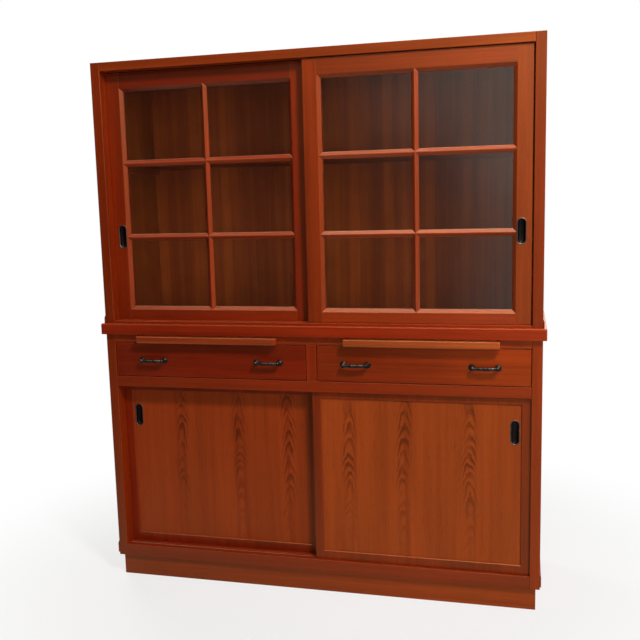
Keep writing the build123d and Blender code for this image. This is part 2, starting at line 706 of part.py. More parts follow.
upper_door("upper_door_left", -1, upper_rear_y, left_meeting_flat, 0)
upper_door("upper_door_right", 1, front_y + upper_door_recess, upper_stile_flat, right_door_ajar)
lower_door("lower_door_left", -1, lower_rear_y)
lower_door("lower_door_right", 1, front_y + lower_door_recess)
drawer("drawer_left", -1)
drawer("drawer_right", 1)
serving_board("serving_left", -drawer_centre)
serving_board("serving_right", drawer_centre)
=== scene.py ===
import math

import bpy
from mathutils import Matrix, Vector


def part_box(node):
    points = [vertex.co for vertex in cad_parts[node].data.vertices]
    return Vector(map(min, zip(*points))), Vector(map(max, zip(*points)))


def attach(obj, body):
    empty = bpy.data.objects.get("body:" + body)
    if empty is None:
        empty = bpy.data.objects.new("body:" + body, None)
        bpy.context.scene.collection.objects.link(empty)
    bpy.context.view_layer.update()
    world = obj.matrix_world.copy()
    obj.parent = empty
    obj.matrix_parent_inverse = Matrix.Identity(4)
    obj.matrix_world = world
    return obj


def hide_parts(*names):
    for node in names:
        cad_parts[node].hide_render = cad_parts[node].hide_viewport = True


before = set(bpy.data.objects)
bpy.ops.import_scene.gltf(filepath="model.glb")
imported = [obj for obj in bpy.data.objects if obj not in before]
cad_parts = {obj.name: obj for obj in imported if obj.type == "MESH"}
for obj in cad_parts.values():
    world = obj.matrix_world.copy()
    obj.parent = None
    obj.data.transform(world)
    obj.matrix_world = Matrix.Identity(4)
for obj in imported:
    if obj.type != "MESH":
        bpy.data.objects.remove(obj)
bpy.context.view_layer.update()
print("frame loaded:", len(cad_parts), "nodes")

# The camera, at eye height and a little to the right of the cabinet
cameraView = {
    "place": (0.6260, -2.5522, 1.2207),
    "turn": (1.429640, 0.024665, 0.241600),
    "lens": 46.142, "sensor": 36.0,
    "nearest": 0.05, "farthest": 60.0,
}


def setCamera(values):
    bpy.ops.object.camera_add(location=values["place"], rotation=values["turn"])
    camera = bpy.context.object
    camera.name = "frontCamera"
    camera.data.lens = values["lens"]
    camera.data.sensor_width = values["sensor"]
    camera.data.clip_start = values["nearest"]
    camera.data.clip_end = values["farthest"]
    bpy.context.scene.camera = camera


setCamera(cameraView)
bpy.context.scene.view_settings.view_transform = "Standard"
print("camera set")


# Small helpers for node trees
def screenColour(red, green, blue):
    # from 0-255 screen values to the linear colour that nodes expect
    steps = [value / 255 for value in (red, green, blue)]
    return tuple(v / 12.92 if v <= 0.04045 else ((v + 0.055) / 1.055) ** 2.4 for v in steps) + (1.0,)


def fillInputs(tree, node, inputs):
    for slot, value in inputs.items():
        if isinstance(value, bpy.types.NodeSocket):
            tree.links.new(value, node.inputs[slot])
        else:
            node.inputs[slot].default_value = value


def addNode(tree, kind, inputs=None, **settings):
    node = tree.nodes.new(kind)
    for name, value in settings.items():
        setattr(node, name, value)
    fillInputs(tree, node, inputs or {})
    return node


def maths(tree, operation, *values):
    return addNode(tree, "ShaderNodeMath", dict(enumerate(values)), operation=operation).outputs[0]


def vectorMaths(tree, operation, *values, out=0):
    return addNode(tree, "ShaderNodeVectorMath", dict(enumerate(values)), operation=operation).outputs[out]


def squeezed(tree, vector, share):
    # a pattern on the result is drawn out along Z, more so for a smaller share
    return vectorMaths(tree, "MULTIPLY", vector, (1.0, 1.0, share))


def splitAxes(tree, vector):
    return addNode(tree, "ShaderNodeSeparateXYZ", {0: vector}).outputs


def objectPlace(tree):
    return addNode(tree, "ShaderNodeTexCoord").outputs["Object"]


def remap(tree, value, low, high, newLow=0.0, newHigh=1.0):
    numbers = {0: value, 1: low, 2: high, 3: newLow, 4: newHigh}
    return addNode(tree, "ShaderNodeMapRange", numbers, interpolation_type="SMOOTHSTEP").outputs[0]


def spread(tree, share, low, high):
    # from low where the share is 0 to high where it is 1
    return remap(tree, share, 0.0, 1.0, low, high)


def mixColours(tree, share, first, second, blend="MIX"):
    values = {0: share, 6: first, 7: second}
    return addNode(tree, "ShaderNodeMix", values, data_type="RGBA", blend_type=blend).outputs[2]


def tinted(tree, colour, factor, share=1.0):
    return mixColours(tree, share, colour, factor, "MULTIPLY")


def noise(tree, vector, scale, detail=2.0, roughness=0.5, out=0):
    values = {"Vector": vector, "Scale": scale, "Detail": detail, "Roughness": roughness}
    return addNode(tree, "ShaderNodeTexNoise", values).outputs[out]


def bumped(tree, height, strength, distance, normal=None):
    values = {"Height": height, "Strength": strength, "Distance": distance}
    if normal is not None:
        values["Normal"] = normal
    return addNode(tree, "ShaderNodeBump", values).outputs[0]


def startGroup(name, inputs, outputs):
    tree = bpy.data.node_groups.new(name, "ShaderNodeTree")
    for label, kind, value in inputs:
        socket = tree.interface.new_socket(label, in_out="INPUT", socket_type="NodeSocket" + kind)
        if value is not None:
            socket.default_value = value
    for label, kind in outputs:
        tree.interface.new_socket(label, in_out="OUTPUT", socket_type="NodeSocket" + kind)
    return tree, tree.nodes.new("NodeGroupInput").outputs, tree.nodes.new("NodeGroupOutput")


def useGroup(tree, group, inputs):
    node = tree.nodes.new("ShaderNodeGroup")
    node.node_tree = group
    fillInputs(tree, node, inputs)
    return node.outputs


def startMaterial(name):
    material = bpy.data.materials.new(name)
    material.use_nodes = True
    tree = material.node_tree
    return material, tree, tree.nodes["Principled BSDF"]


def giveMaterial(piece, material):
    piece.data.materials.clear()
    piece.data.materials.append(material)


# Straight grain: it runs along the group's Z, in waving streaks with finer lines and pores between them
grainPattern = {
    "driftSqueeze": 0.30, "driftScale": 3.0, "driftDetail": 1.0,
    "streakSqueeze": 0.022, "streakDetail": 3.0, "streakRoughness": 0.55, "streakRange": (0.36, 0.66),
    "fineTimes": 6.0, "fineDetail": 2.0, "fineRoughness": 0.6, "fineRange": (0.34, 0.68),
    "toneSqueeze": 0.16, "toneScale": 7.0, "toneRange": (0.30, 0.70),
    "poreSqueeze": 0.035, "poreScale": 850.0, "poreDetail": 1.0, "poreRange": (0.60, 0.74),
}


def makeStraightGrain(pattern):
    tree, enter, leave = startGroup(
        "straightGrain",
        [("Vector", "Vector", None), ("Streaks", "Float", 60.0), ("Waviness", "Float", 0.010)],
        [("Figure", "Float"), ("Fine", "Float"), ("Tone", "Float"), ("Pores", "Float")],
    )
    slow = squeezed(tree, enter["Vector"], pattern["driftSqueeze"])
    drift = noise(tree, slow, pattern["driftScale"], pattern["driftDetail"], out=1)
    drift = vectorMaths(tree, "SUBTRACT", drift, (0.5, 0.5, 0.5))
    drift = addNode(tree, "ShaderNodeVectorMath", {0: drift, 3: enter["Waviness"]}, operation="SCALE")
    waved = vectorMaths(tree, "ADD", enter["Vector"], drift.outputs[0])
    long = squeezed(tree, waved, pattern["streakSqueeze"])
    streaks = noise(tree, long, enter["Streaks"], pattern["streakDetail"], pattern["streakRoughness"])
    fineScale = maths(tree, "MULTIPLY", enter["Streaks"], pattern["fineTimes"])
    fine = noise(tree, long, fineScale, pattern["fineDetail"], pattern["fineRoughness"])
    tone = noise(tree, squeezed(tree, waved, pattern["toneSqueeze"]), pattern["toneScale"])
    short = squeezed(tree, waved, pattern["poreSqueeze"])
    pores = noise(tree, short, pattern["poreScale"], pattern["poreDetail"])
    fillInputs(tree, leave, {
        "Figure": remap(tree, streaks, *pattern["streakRange"]),
        "Fine": remap(tree, fine, *pattern["fineRange"]),
        "Tone": remap(tree, tone, *pattern["toneRange"]),
        "Pores": remap(tree, pores, *pattern["poreRange"]),
    })
    return tree


# Cathedral grain: three leaves of veneer, each with nested arches that point up
archPattern = {
    "leafShift": 1.7,        # how far apart the leaves lie in the noise
    "bendScale": 5.0, "sway": 0.030, "riseSway": 0.25,
    "raggedness": [
        {"squeeze": 0.45, "scale": 48.0, "detail": 3.0, "roughness": 0.62, "share": 1.5},
        {"squeeze": 0.50, "scale": 260.0, "detail": 2.0, "roughness": 0.60, "share": 0.30},
    ],
    "rising": (0.12, 0.66), "falling": (0.84, 0.99),
    "core": 0.008,           # half the width over which the arches are at their strongest
}


def pastMiddle(tree, across, before, after):
    # 1 beyond the middle between two places, and 0 short of it
    middle = maths(tree, "MULTIPLY", maths(tree, "ADD", before, after), 0.5)
    return maths(tree, "GREATER_THAN", across, middle)


def makeCathedralGrain(pattern):
    tree, enter, leave = startGroup(
        "cathedralGrain",
        [("Vector", "Vector", None), ("First", "Float", -0.2), ("Second", "Float", 0.0),
         ("Third", "Float", 0.2), ("Depth", "Float", 0.016), ("Ring Gap", "Float", 0.0080),
         ("Arch Gap", "Float", 0.044), ("Reach", "Float", 0.033)],
        [("Rings", "Float"), ("Column", "Float")],
    )
    first, second, third, depth = (enter[name] for name in ("First", "Second", "Third", "Depth"))
    place = splitAxes(tree, enter["Vector"])
    pastFirst = pastMiddle(tree, place["X"], first, second)
    pastSecond = pastMiddle(tree, place["X"], second, third)
    centre = maths(tree, "MULTIPLY_ADD", maths(tree, "SUBTRACT", second, first), pastFirst, first)
    centre = maths(tree, "MULTIPLY_ADD", maths(tree, "SUBTRACT", third, second), pastSecond, centre)

    # each leaf gets its own stretch of noise, so that no two have the same arches
    shift = maths(tree, "MULTIPLY", maths(tree, "ADD", pastFirst, pastSecond), pattern["leafShift"])
    shift = addNode(tree, "ShaderNodeCombineXYZ", {"Y": shift}).outputs[0]
    own = vectorMaths(tree, "ADD", enter["Vector"], shift)
    wander = vectorMaths(tree, "MULTIPLY", own, (0.0, 1.0, 1.0))
    bend = splitAxes(tree, noise(tree, wander, pattern["bendScale"], out=1))

    # rings count outwards from the leaf's middle line, and their rise turns them into arches
    sway = maths(tree, "MULTIPLY_ADD", bend["X"], pattern["sway"], -pattern["sway"] / 2)
    across = maths(tree, "ADD", maths(tree, "SUBTRACT", place["X"], centre), sway)
    squares = maths(tree, "ADD", maths(tree, "MULTIPLY", across, across),
                    maths(tree, "MULTIPLY", depth, depth))
    ringCount = maths(tree, "DIVIDE", maths(tree, "SQRT", squares), enter["Ring Gap"])
    rise = maths(tree, "ADD", place["Z"], maths(tree, "MULTIPLY", bend["Y"], pattern["riseSway"]))
    phase = maths(tree, "ADD", ringCount, maths(tree, "DIVIDE", rise, enter["Arch Gap"]))
    for layer in pattern["raggedness"]:
        drawn = squeezed(tree, own, layer["squeeze"])
        ragged = noise(tree, drawn, layer["scale"], layer["detail"], layer["roughness"])
        phase = maths(tree, "MULTIPLY_ADD", ragged, layer["share"], phase)
    turn = maths(tree, "FRACT", phase)
    rising = remap(tree, turn, *pattern["rising"])
    falling = remap(tree, turn, *pattern["falling"], 1.0, 0.0)
    fillInputs(tree, leave, {
        "Rings": maths(tree, "MULTIPLY", rising, falling),
        "Column": remap(tree, maths(tree, "ABSOLUTE", across), enter["Reach"], pattern["core"]),
    })
    return tree


# Worn edges and painted highlight: a mask along a piece's arrises, one for those that face up, on which the
# wood paints a highlight as if lit from above, and a normal that rounds them
edgePattern = {
    "match": (0.98, 0.72),           # how well the rounded normal agrees with the flat one
    "facingUp": (0.10, 0.45),
}


def makeEdgeWearAndHighlight(pattern):
    tree, enter, leave = startGroup(
        "edgeWearAndHighlight", [("Radius", "Float", 0.0015)],
        [("Mask", "Float"), ("Upper", "Float"), ("Normal", "Vector")])
    soft = addNode(tree, "ShaderNodeBevel", {"Radius": enter["Radius"]}, samples=4).outputs[0]
    flat = addNode(tree, "ShaderNodeNewGeometry").outputs["Normal"]
    mask = remap(tree, vectorMaths(tree, "DOT_PRODUCT", soft, flat, out=1), *pattern["match"])
    facing = remap(tree, splitAxes(tree, soft)["Z"], *pattern["facingUp"])
    fillInputs(tree, leave, {
        "Mask": mask, "Upper": maths(tree, "MULTIPLY", mask, facing), "Normal": soft})
    return tree


# Handling: faint smears that change how a finish shines
smearPattern = {"detail": 4.0, "roughness": 0.62, "range": (0.32, 0.70)}


def makeHandling(pattern):
    tree, enter, leave = startGroup(
        "handling", [("Vector", "Vector", None), ("Scale", "Float", 9.0)], [("Smear", "Float")])
    smear = noise(tree, enter["Vector"], enter["Scale"], pattern["detail"], pattern["roughness"])
    fillInputs(tree, leave, {"Smear": remap(tree, smear, *pattern["range"])})
    return tree


straightGrain = makeStraightGrain(grainPattern)
cathedralGrain = makeCathedralGrain(archPattern)
edgeWearAndHighlight = makeEdgeWearAndHighlight(edgePattern)
handling = makeHandling(smearPattern)
print("shared effects built")

amberSheen = (1.0, 0.80, 0.32, 1.0)      # the old lacquer's warm gloss

# Lacquered wood: the pale and dark tones of the grain, and how strongly each effect shows
woodFinishes = {
    "case": {"pale": (146, 42, 9), "dark": (112, 24, 3), "figure": 0.42, "fine": 0.26,
             "streaks": 55.0, "shine": 0.36, "coat": 0.02, "gloss": 0.40, "edge": 0.0020, "wearAndHighlight": 0.10},
    "door": {"pale": (146, 42, 8), "dark": (110, 22, 3), "figure": 0.45, "fine": 0.30,
             "streaks": 60.0, "shine": 0.36, "coat": 0.14, "gloss": 0.40, "edge": 0.0028, "wearAndHighlight": 0.40},
    "drawer": {"pale": (148, 43, 9), "dark": (112, 24, 3), "figure": 0.50, "fine": 0.35,
               "streaks": 75.0, "shine": 0.36, "coat": 0.02, "gloss": 0.40, "edge": 0.0018, "wearAndHighlight": 0.10},
    "grip": {"pale": (168, 70, 24), "dark": (142, 48, 12), "figure": 0.45, "fine": 0.30,
             "streaks": 90.0, "shine": 0.34, "coat": 0.08, "gloss": 0.45, "edge": 0.0030, "wearAndHighlight": 0.45},
    "inside": {"pale": (160, 75, 20), "dark": (126, 49, 10), "figure": 0.60, "fine": 0.25,
               "streaks": 40.0, "shine": 0.50, "coat": 0.0, "gloss": 0.08, "edge": 0.0016, "wearAndHighlight": 0.10},
    "box": {"pale": (196, 158, 112), "dark": (166, 124, 80), "figure": 0.50, "fine": 0.35,
            "streaks": 60.0, "shine": 0.60, "coat": 0.0, "gloss": 0.20, "edge": 0.0012, "wearAndHighlight": 0.10},
    "slip": {"pale": (170, 150, 120), "dark": (140, 118, 88), "figure": 0.40, "fine": 0.30,
             "streaks": 90.0, "shine": 0.30, "coat": 0.0, "gloss": 0.40, "edge": 0.0006, "wearAndHighlight": 0.10},
}

# What some boards have otherwise than their finish says: sharp arrises without the lighter wear and painted
# highlight, or more clear lacquer
ownFinish = {
    "lower_door_left_frame": {"edge": 0.0006, "wearAndHighlight": 0.0},
    "lower_door_right_frame": {"edge": 0.0006, "wearAndHighlight": 0.0},
    "upper_door_right_muntin_upright": {"coat": 0.40},
    "upper_door_right_muntin_bars": {"coat": 0.40},
    "upper_door_right_bottom_rail": {"coat": 0.22},
}

# What all the boards share
woodDetail = {
    "toneRange": (0.88, 1.10), "pore": (60, 20, 8), "pores": 0.35,
    "wornArrisAndHighlight": (196, 98, 46),           # arrises made lighter: partly wear, partly a painted highlight on the rounded edges
    "rubbedAndHighlight": (250, 188, 142),       # painted highlight on the upper arrises, as if lit from above
    "upperHighlightTimes": 1.6,
    "smoother": 0.02, "rougher": 0.04, "poreRoughness": 0.15, "coatRoughness": 0.25,
    "fineRelief": 0.35, "bump": 0.12, "bumpDepth": 0.0006,
    "shift": (0.37, 0.23, 0.61),     # how far apart the boards lie in the noise
}

alongX = (0.0, math.radians(90.0), 0.0)
alongY = (math.radians(90.0), 0.0, 0.0)
alongZ = (0.0, 0.0, 0.0)

# Every board of the cabinet: its finish and the way its grain runs
boardGrain = {
    "case": {
        alongX: ["upper_head_rail", "upper_sill", "counter_board", "middle_rail", "board_floor",
                 "lower_sill_rail", "plinth"],
        alongY: ["side_battens", "board_guides"],
        alongZ: ["upper_side_left", "upper_side_right", "lower_side_left", "lower_side_right",
                 "drawer_divider", "lower_door_left_frame", "lower_door_right_frame"],
    },
    "door": {
        alongX: ["upper_door_left_top_rail", "upper_door_left_bottom_rail",
                 "upper_door_right_top_rail", "upper_door_right_bottom_rail",
                 "upper_door_left_muntin_bars", "upper_door_right_muntin_bars"],
        alongZ: ["upper_door_left_outer_stile", "upper_door_left_inner_stile",
                 "upper_door_right_outer_stile", "upper_door_right_inner_stile",
                 "upper_door_left_muntin_upright", "upper_door_right_muntin_upright"],
    },
    "drawer": {alongX: ["drawer_left_front", "drawer_right_front"]},
    "grip": {alongX: ["serving_left_grip", "serving_right_grip"]},
    "inside": {
        alongX: ["upper_shelf", "upper_top_board", "drawer_floor", "lower_bottom_board"],
        alongY: ["shelf_cleats"],
    },
    "box": {
        alongX: ["drawer_left_back", "drawer_right_back"],
        alongY: ["drawer_left_left_side", "drawer_left_right_side", "drawer_right_left_side",
                 "drawer_right_right_side", "drawer_left_bottom", "drawer_right_bottom",
                 "serving_left_board", "serving_right_board"],
    },
    "slip": {alongX: ["track_strips"]},
}

# How much redder, greener or bluer some boards are than the rest. These tints are partly the boards' own tone
# and partly painted light and shade: boards on the left are mostly darker and those on the right mostly
# paler, as if lit from the right, and the left upper door's top rail and the left lower door's frame are
# darkened as painted shadow.
boardToneAndPaintedLight = {
    "upper_head_rail": (0.98, 1.45, 1.35),
    "upper_side_left": (0.84, 0.86, 0.60),
    "upper_side_right": (0.72, 0.80, 0.95),
    "counter_board": (1.04, 0.76, 0.74),
    "lower_side_left": (0.78, 0.90, 0.82),
    "lower_side_right": (1.04, 1.22, 1.05),
    "middle_rail": (0.92, 0.90, 0.90),
    "drawer_divider": (1.0, 0.88, 0.75),
    "lower_sill_rail": (0.75, 0.66, 0.80),
    "plinth": (0.84, 1.12, 1.12),
    "upper_door_left_outer_stile": (0.88, 0.82, 0.65),
    "upper_door_left_inner_stile": (0.80, 0.66, 0.55),
    "upper_door_left_top_rail": (0.54, 0.34, 0.42),
    "upper_door_right_inner_stile": (0.94, 1.12, 0.85),
    "upper_door_right_outer_stile": (1.08, 1.72, 1.35),
    "upper_door_right_top_rail": (0.94, 1.25, 1.00),
    "upper_door_right_bottom_rail": (1.20, 1.45, 1.05),
    "upper_door_right_muntin_upright": (1.12, 1.48, 1.25),
    "upper_door_right_muntin_bars": (1.12, 1.48, 1.25),
    "lower_door_left_frame": (0.72, 0.54, 0.60),
    "lower_door_right_frame": (0.80, 0.92, 1.05),
    "drawer_left_front": (0.74, 0.44, 0.46),
    "drawer_right_front": (0.88, 0.86, 0.50),
    "serving_left_grip": (0.88, 0.70, 0.72),
    "serving_right_grip": (1.10, 1.28, 1.45),
}

# Painted light: boards made paler towards the right, as if lit from that side, which also paints a highlight
# on the head rail's right end. Where that starts and ends, and the tint there
paintedLightToRight = {
    "upper_head_rail": {"start": 0.35, "end": 0.66, "tint": (1.28, 1.60, 2.20)},
    "counter_board": {"start": 0.20, "end": 0.62, "tint": (1.08, 1.24, 1.30)},
    "drawer_right_front": {"start": 0.36, "end": 0.55, "tint": (1.42, 1.75, 1.35)},
    "lower_sill_rail": {"start": -0.62, "end": 0.40, "tint": (1.10, 1.34, 1.48)},
    "plinth": {"start": -0.62, "end": 0.62, "tint": (1.46, 1.78, 1.60)},
}

# Side boards are unlacquered inside: how thick the bare skin is, and where it starts behind the door tracks
rawInside = {
    "boards": ["upper_side_left", "upper_side_right", "lower_side_left", "lower_side_right"],
    "skin": (0.0004, 0.0012), "behindTracks": (-0.130, -0.122),
}


def insideShare(tree, place, board, values):
    low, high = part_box(board)
    innerFace = min(abs(low[0]), abs(high[0]))
    axes = splitAxes(tree, place)
    near, far = (innerFace + step for step in values["skin"])
    facing = remap(tree, maths(tree, "ABSOLUTE", axes["X"]), near, far, 1.0, 0.0)
    return maths(tree, "MULTIPLY", facing, remap(tree, axes["Y"], *values["behindTracks"]))


def woodColour(tree, place, grain, edge, finish, board):
    figure = maths(tree, "MULTIPLY", grain["Figure"], finish["figure"])
    figure = maths(tree, "MULTIPLY_ADD", grain["Fine"], finish["fine"], figure)
    pale, dark = screenColour(*finish["pale"]), screenColour(*finish["dark"])
    if board in rawInside["boards"]:
        raw = woodFinishes["inside"]
        share = insideShare(tree, place, board, rawInside)
        pale = mixColours(tree, share, pale, screenColour(*raw["pale"]))
        dark = mixColours(tree, share, dark, screenColour(*raw["dark"]))
    colour = mixColours(tree, figure, pale, dark)
    # each board's tint: partly its own tone, partly painted light and shade
    if board in boardToneAndPaintedLight:
        colour = tinted(tree, colour, (*boardToneAndPaintedLight[board], 1.0))
    # painted light: paler towards the right, as if lit from that side
    if board in paintedLightToRight:
        litEnd = paintedLightToRight[board]
        share = remap(tree, splitAxes(tree, place)["X"], litEnd["start"], litEnd["end"])
        colour = tinted(tree, colour, (*litEnd["tint"], 1.0), share)
    colour = tinted(tree, colour, spread(tree, grain["Tone"], *woodDetail["toneRange"]))
    # pores, then lighter arrises (partly wear, partly painted highlight), then a painted highlight on the
    # upper arrises as if lit from above
    marks = [
        (grain["Pores"], woodDetail["pores"], woodDetail["pore"]),
        (edge["Mask"], finish["wearAndHighlight"], woodDetail["wornArrisAndHighlight"]),
        (edge["Upper"], finish["wearAndHighlight"] * woodDetail["upperHighlightTimes"], woodDetail["rubbedAndHighlight"]),
    ]
    for mask, strength, tone in marks:
        colour = mixColours(tree, maths(tree, "MULTIPLY", mask, strength), colour, screenColour(*tone))
    return colour


def makeWood(name, finish, direction, shift, board):
    finish = {**finish, **ownFinish.get(board, {})}
    material, tree, shader = startMaterial(name)
    place = objectPlace(tree)
    turned = addNode(tree, "ShaderNodeMapping",
                     {"Vector": place, "Location": shift, "Rotation": direction}).outputs[0]
    grain = useGroup(tree, straightGrain, {"Vector": turned, "Streaks": finish["streaks"]})
    edge = useGroup(tree, edgeWearAndHighlight, {"Radius": finish["edge"]})
    touch = useGroup(tree, handling, {"Vector": place})

    rough = spread(tree, touch["Smear"], finish["shine"] - woodDetail["smoother"],
                   finish["shine"] + woodDetail["rougher"])
    rough = maths(tree, "MULTIPLY_ADD", grain["Pores"], woodDetail["poreRoughness"], rough)
    relief = maths(tree, "MULTIPLY", grain["Fine"], woodDetail["fineRelief"])
    relief = maths(tree, "MULTIPLY_ADD", grain["Pores"], -1.0, relief)
    fillInputs(tree, shader, {
        "Base Color": woodColour(tree, place, grain, edge, finish, board),
        "Roughness": rough,
        "Normal": bumped(tree, relief, woodDetail["bump"], woodDetail["bumpDepth"], edge["Normal"]),
        "Specular IOR Level": finish["gloss"],
        "Specular Tint": amberSheen,
        "Coat Weight": finish["coat"],
        "Coat Roughness": woodDetail["coatRoughness"],
    })
    return material


def finishBoards():
    count = 0
    for finishName, directions in boardGrain.items():
        for direction, boards in directions.items():
            for board in boards:
                count += 1
                shift = tuple(step * count for step in woodDetail["shift"])
                finish = woodFinishes[finishName]
                wood = makeWood(f"{finishName}Wood.{board}", finish, direction, shift, board)
                giveMaterial(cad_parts[board], wood)
    print("boards finished:", count)


finishBoards()

# The lower doors' veneered panels: the middle of each leaf's arches, across the cabinet, and a tint that
# paints light, darker on the left panel and paler on the right, as if lit from the right
panelFinish = {
    "lower_door_left_panel": {"leaves": (-0.460, -0.257, -0.095), "shift": 0.0, "tint": (0.94, 0.74, 0.72)},
    "lower_door_right_panel": {"leaves": (0.1085, 0.279, 0.476), "shift": 0.37, "tint": (1.02, 1.02, 1.10)},
}

# The veneer itself: its arches come and go in patches, and fade towards the foot
veneer = {
    "pale": (162, 66, 19), "dark": (136, 47, 11), "line": (90, 23, 5), "pore": (70, 26, 10),
    "figure": 0.35, "fine": 0.20, "lines": 0.92, "pores": 0.40, "toneRange": (0.90, 1.08),
    "streaks": 70.0, "waviness": 0.006, "edge": 0.0012,
    "patchSqueeze": 0.6, "patchScale": 26.0, "patchRange": (0.32, 0.60, 0.40, 1.0),
    "footFade": (0.14, 0.46, 0.22, 1.0), "besideColumns": 0.10, "plainLines": 0.38,
    "smooth": 0.34, "rough": 0.46, "gloss": 0.35,
    "lineRelief": -0.3, "bump": 0.15, "bumpDepth": 0.0006,
}


def archLines(tree, place, shifted, arches, grain):
    patches = noise(tree, squeezed(tree, shifted, veneer["patchSqueeze"]), veneer["patchScale"])
    fade = remap(tree, splitAxes(tree, place)["Z"], *veneer["footFade"])
    strength = maths(tree, "MULTIPLY", remap(tree, patches, *veneer["patchRange"]), fade)
    inColumns = maths(tree, "MULTIPLY", arches["Rings"], maths(tree, "MULTIPLY", arches["Column"], strength))
    beside = maths(tree, "MULTIPLY", arches["Rings"], veneer["besideColumns"])
    plain = maths(tree, "MULTIPLY", maths(tree, "MULTIPLY", grain["Figure"], arches["Column"]),
                  veneer["plainLines"])
    return maths(tree, "MAXIMUM", maths(tree, "MAXIMUM", inColumns, plain), beside)


def makePanelVeneer(name, values):
    material, tree, shader = startMaterial("veneer." + name)
    place = objectPlace(tree)
    shifted = addNode(tree, "ShaderNodeMapping",
                      {"Vector": place, "Location": (0.0, values["shift"], 0.0)}).outputs[0]
    leaves = dict(zip(("First", "Second", "Third"), values["leaves"]))
    arches = useGroup(tree, cathedralGrain, {"Vector": shifted, **leaves})
    grain = useGroup(tree, straightGrain, {
        "Vector": shifted, "Streaks": veneer["streaks"], "Waviness": veneer["waviness"]})
    edge = useGroup(tree, edgeWearAndHighlight, {"Radius": veneer["edge"]})
    touch = useGroup(tree, handling, {"Vector": place})

    lines = archLines(tree, place, shifted, arches, grain)
    figure = maths(tree, "MULTIPLY", grain["Fine"], veneer["fine"])
    figure = maths(tree, "MULTIPLY_ADD", grain["Figure"], veneer["figure"], figure)
    colour = mixColours(tree, figure, screenColour(*veneer["pale"]), screenColour(*veneer["dark"]))
    colour = mixColours(tree, maths(tree, "MULTIPLY", lines, veneer["lines"]), colour,
                        screenColour(*veneer["line"]))
    # painted light: the tint darkens the left panel and makes the right one paler, as if lit from the right
    colour = tinted(tree, colour, (*values["tint"], 1.0))
    colour = tinted(tree, colour, spread(tree, grain["Tone"], *veneer["toneRange"]))
    colour = mixColours(tree, maths(tree, "MULTIPLY", grain["Pores"], veneer["pores"]), colour,
                        screenColour(*veneer["pore"]))
    relief = maths(tree, "MULTIPLY", lines, veneer["lineRelief"])
    relief = maths(tree, "MULTIPLY_ADD", grain["Pores"], -1.0, relief)
    fillInputs(tree, shader, {
        "Base Color": colour,
        "Roughness": spread(tree, touch["Smear"], veneer["smooth"], veneer["rough"]),
        "Normal": bumped(tree, relief, veneer["bump"], veneer["bumpDepth"], edge["Normal"]),
        "Specular IOR Level": veneer["gloss"],
        "Specular Tint": amberSheen,
    })
    return material


for panelName, panelValues in panelFinish.items():
    giveMaterial(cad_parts[panelName], makePanelVeneer(panelName, panelValues))
print("veneered panels finished")

# The plywood backs, made of leaves that differ a little in tone
backFinish = {
    "pale": (158, 72, 20), "dark": (120, 44, 10), "figure": 0.55, "fine": 0.20,
    "streaks": 38.0, "waviness": 0.012, "smears": 5.0,
    "leafWidth": 0.085, "leafRange": (0.82, 1.08), "toneRange": (0.90, 1.06),
    "smooth": 0.46, "rough": 0.62, "gloss": 0.08, "bump": 0.10, "bumpDepth": 0.0005,
}


def makeBackPlywood(values):
    material, tree, shader = startMaterial("backPlywood")
    place = objectPlace(tree)
    grain = useGroup(tree, straightGrain, {
        "Vector": place, "Streaks": values["streaks"], "Waviness": values["waviness"]})
    touch = useGroup(tree, handling, {"Vector": place, "Scale": values["smears"]})
    leaf = maths(tree, "DIVIDE", splitAxes(tree, place)["X"], values["leafWidth"])
    leaf = maths(tree, "FLOOR", leaf)
    leafTone = addNode(tree, "ShaderNodeTexWhiteNoise", {"W": leaf}, noise_dimensions="1D").outputs["Value"]
    figure = maths(tree, "MULTIPLY", grain["Fine"], values["fine"])
    figure = maths(tree, "MULTIPLY_ADD", grain["Figure"], values["figure"], figure)
    colour = mixColours(tree, figure, screenColour(*values["pale"]), screenColour(*values["dark"]))
    colour = tinted(tree, colour, spread(tree, leafTone, *values["leafRange"]))
    colour = tinted(tree, colour, spread(tree, grain["Tone"], *values["toneRange"]))
    fillInputs(tree, shader, {
        "Base Color": colour,
        "Roughness": spread(tree, touch["Smear"], values["smooth"], values["rough"]),
        "Normal": bumped(tree, grain["Fine"], values["bump"], values["bumpDepth"]),
        "Specular IOR Level": values["gloss"],
    })
    return material


backPlywood = makeBackPlywood(backFinish)
for backName in ("upper_back_panel", "lower_back_panel"):
    giveMaterial(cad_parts[backName], backPlywood)

# Window glass with a slight wave; hardly any of the lamps' light passes it
glassFinish = {
    "tint": (244, 247, 245), "dust": (222, 220, 214), "dustShare": 0.4, "index": 1.45,
    "smears": 14.0, "roughest": 0.02, "lampShare": 0.03,
    "waves": 7.0, "waveSqueeze": 0.5, "waveDetail": 1.0, "bump": 0.05, "bumpDepth": 0.002,
}


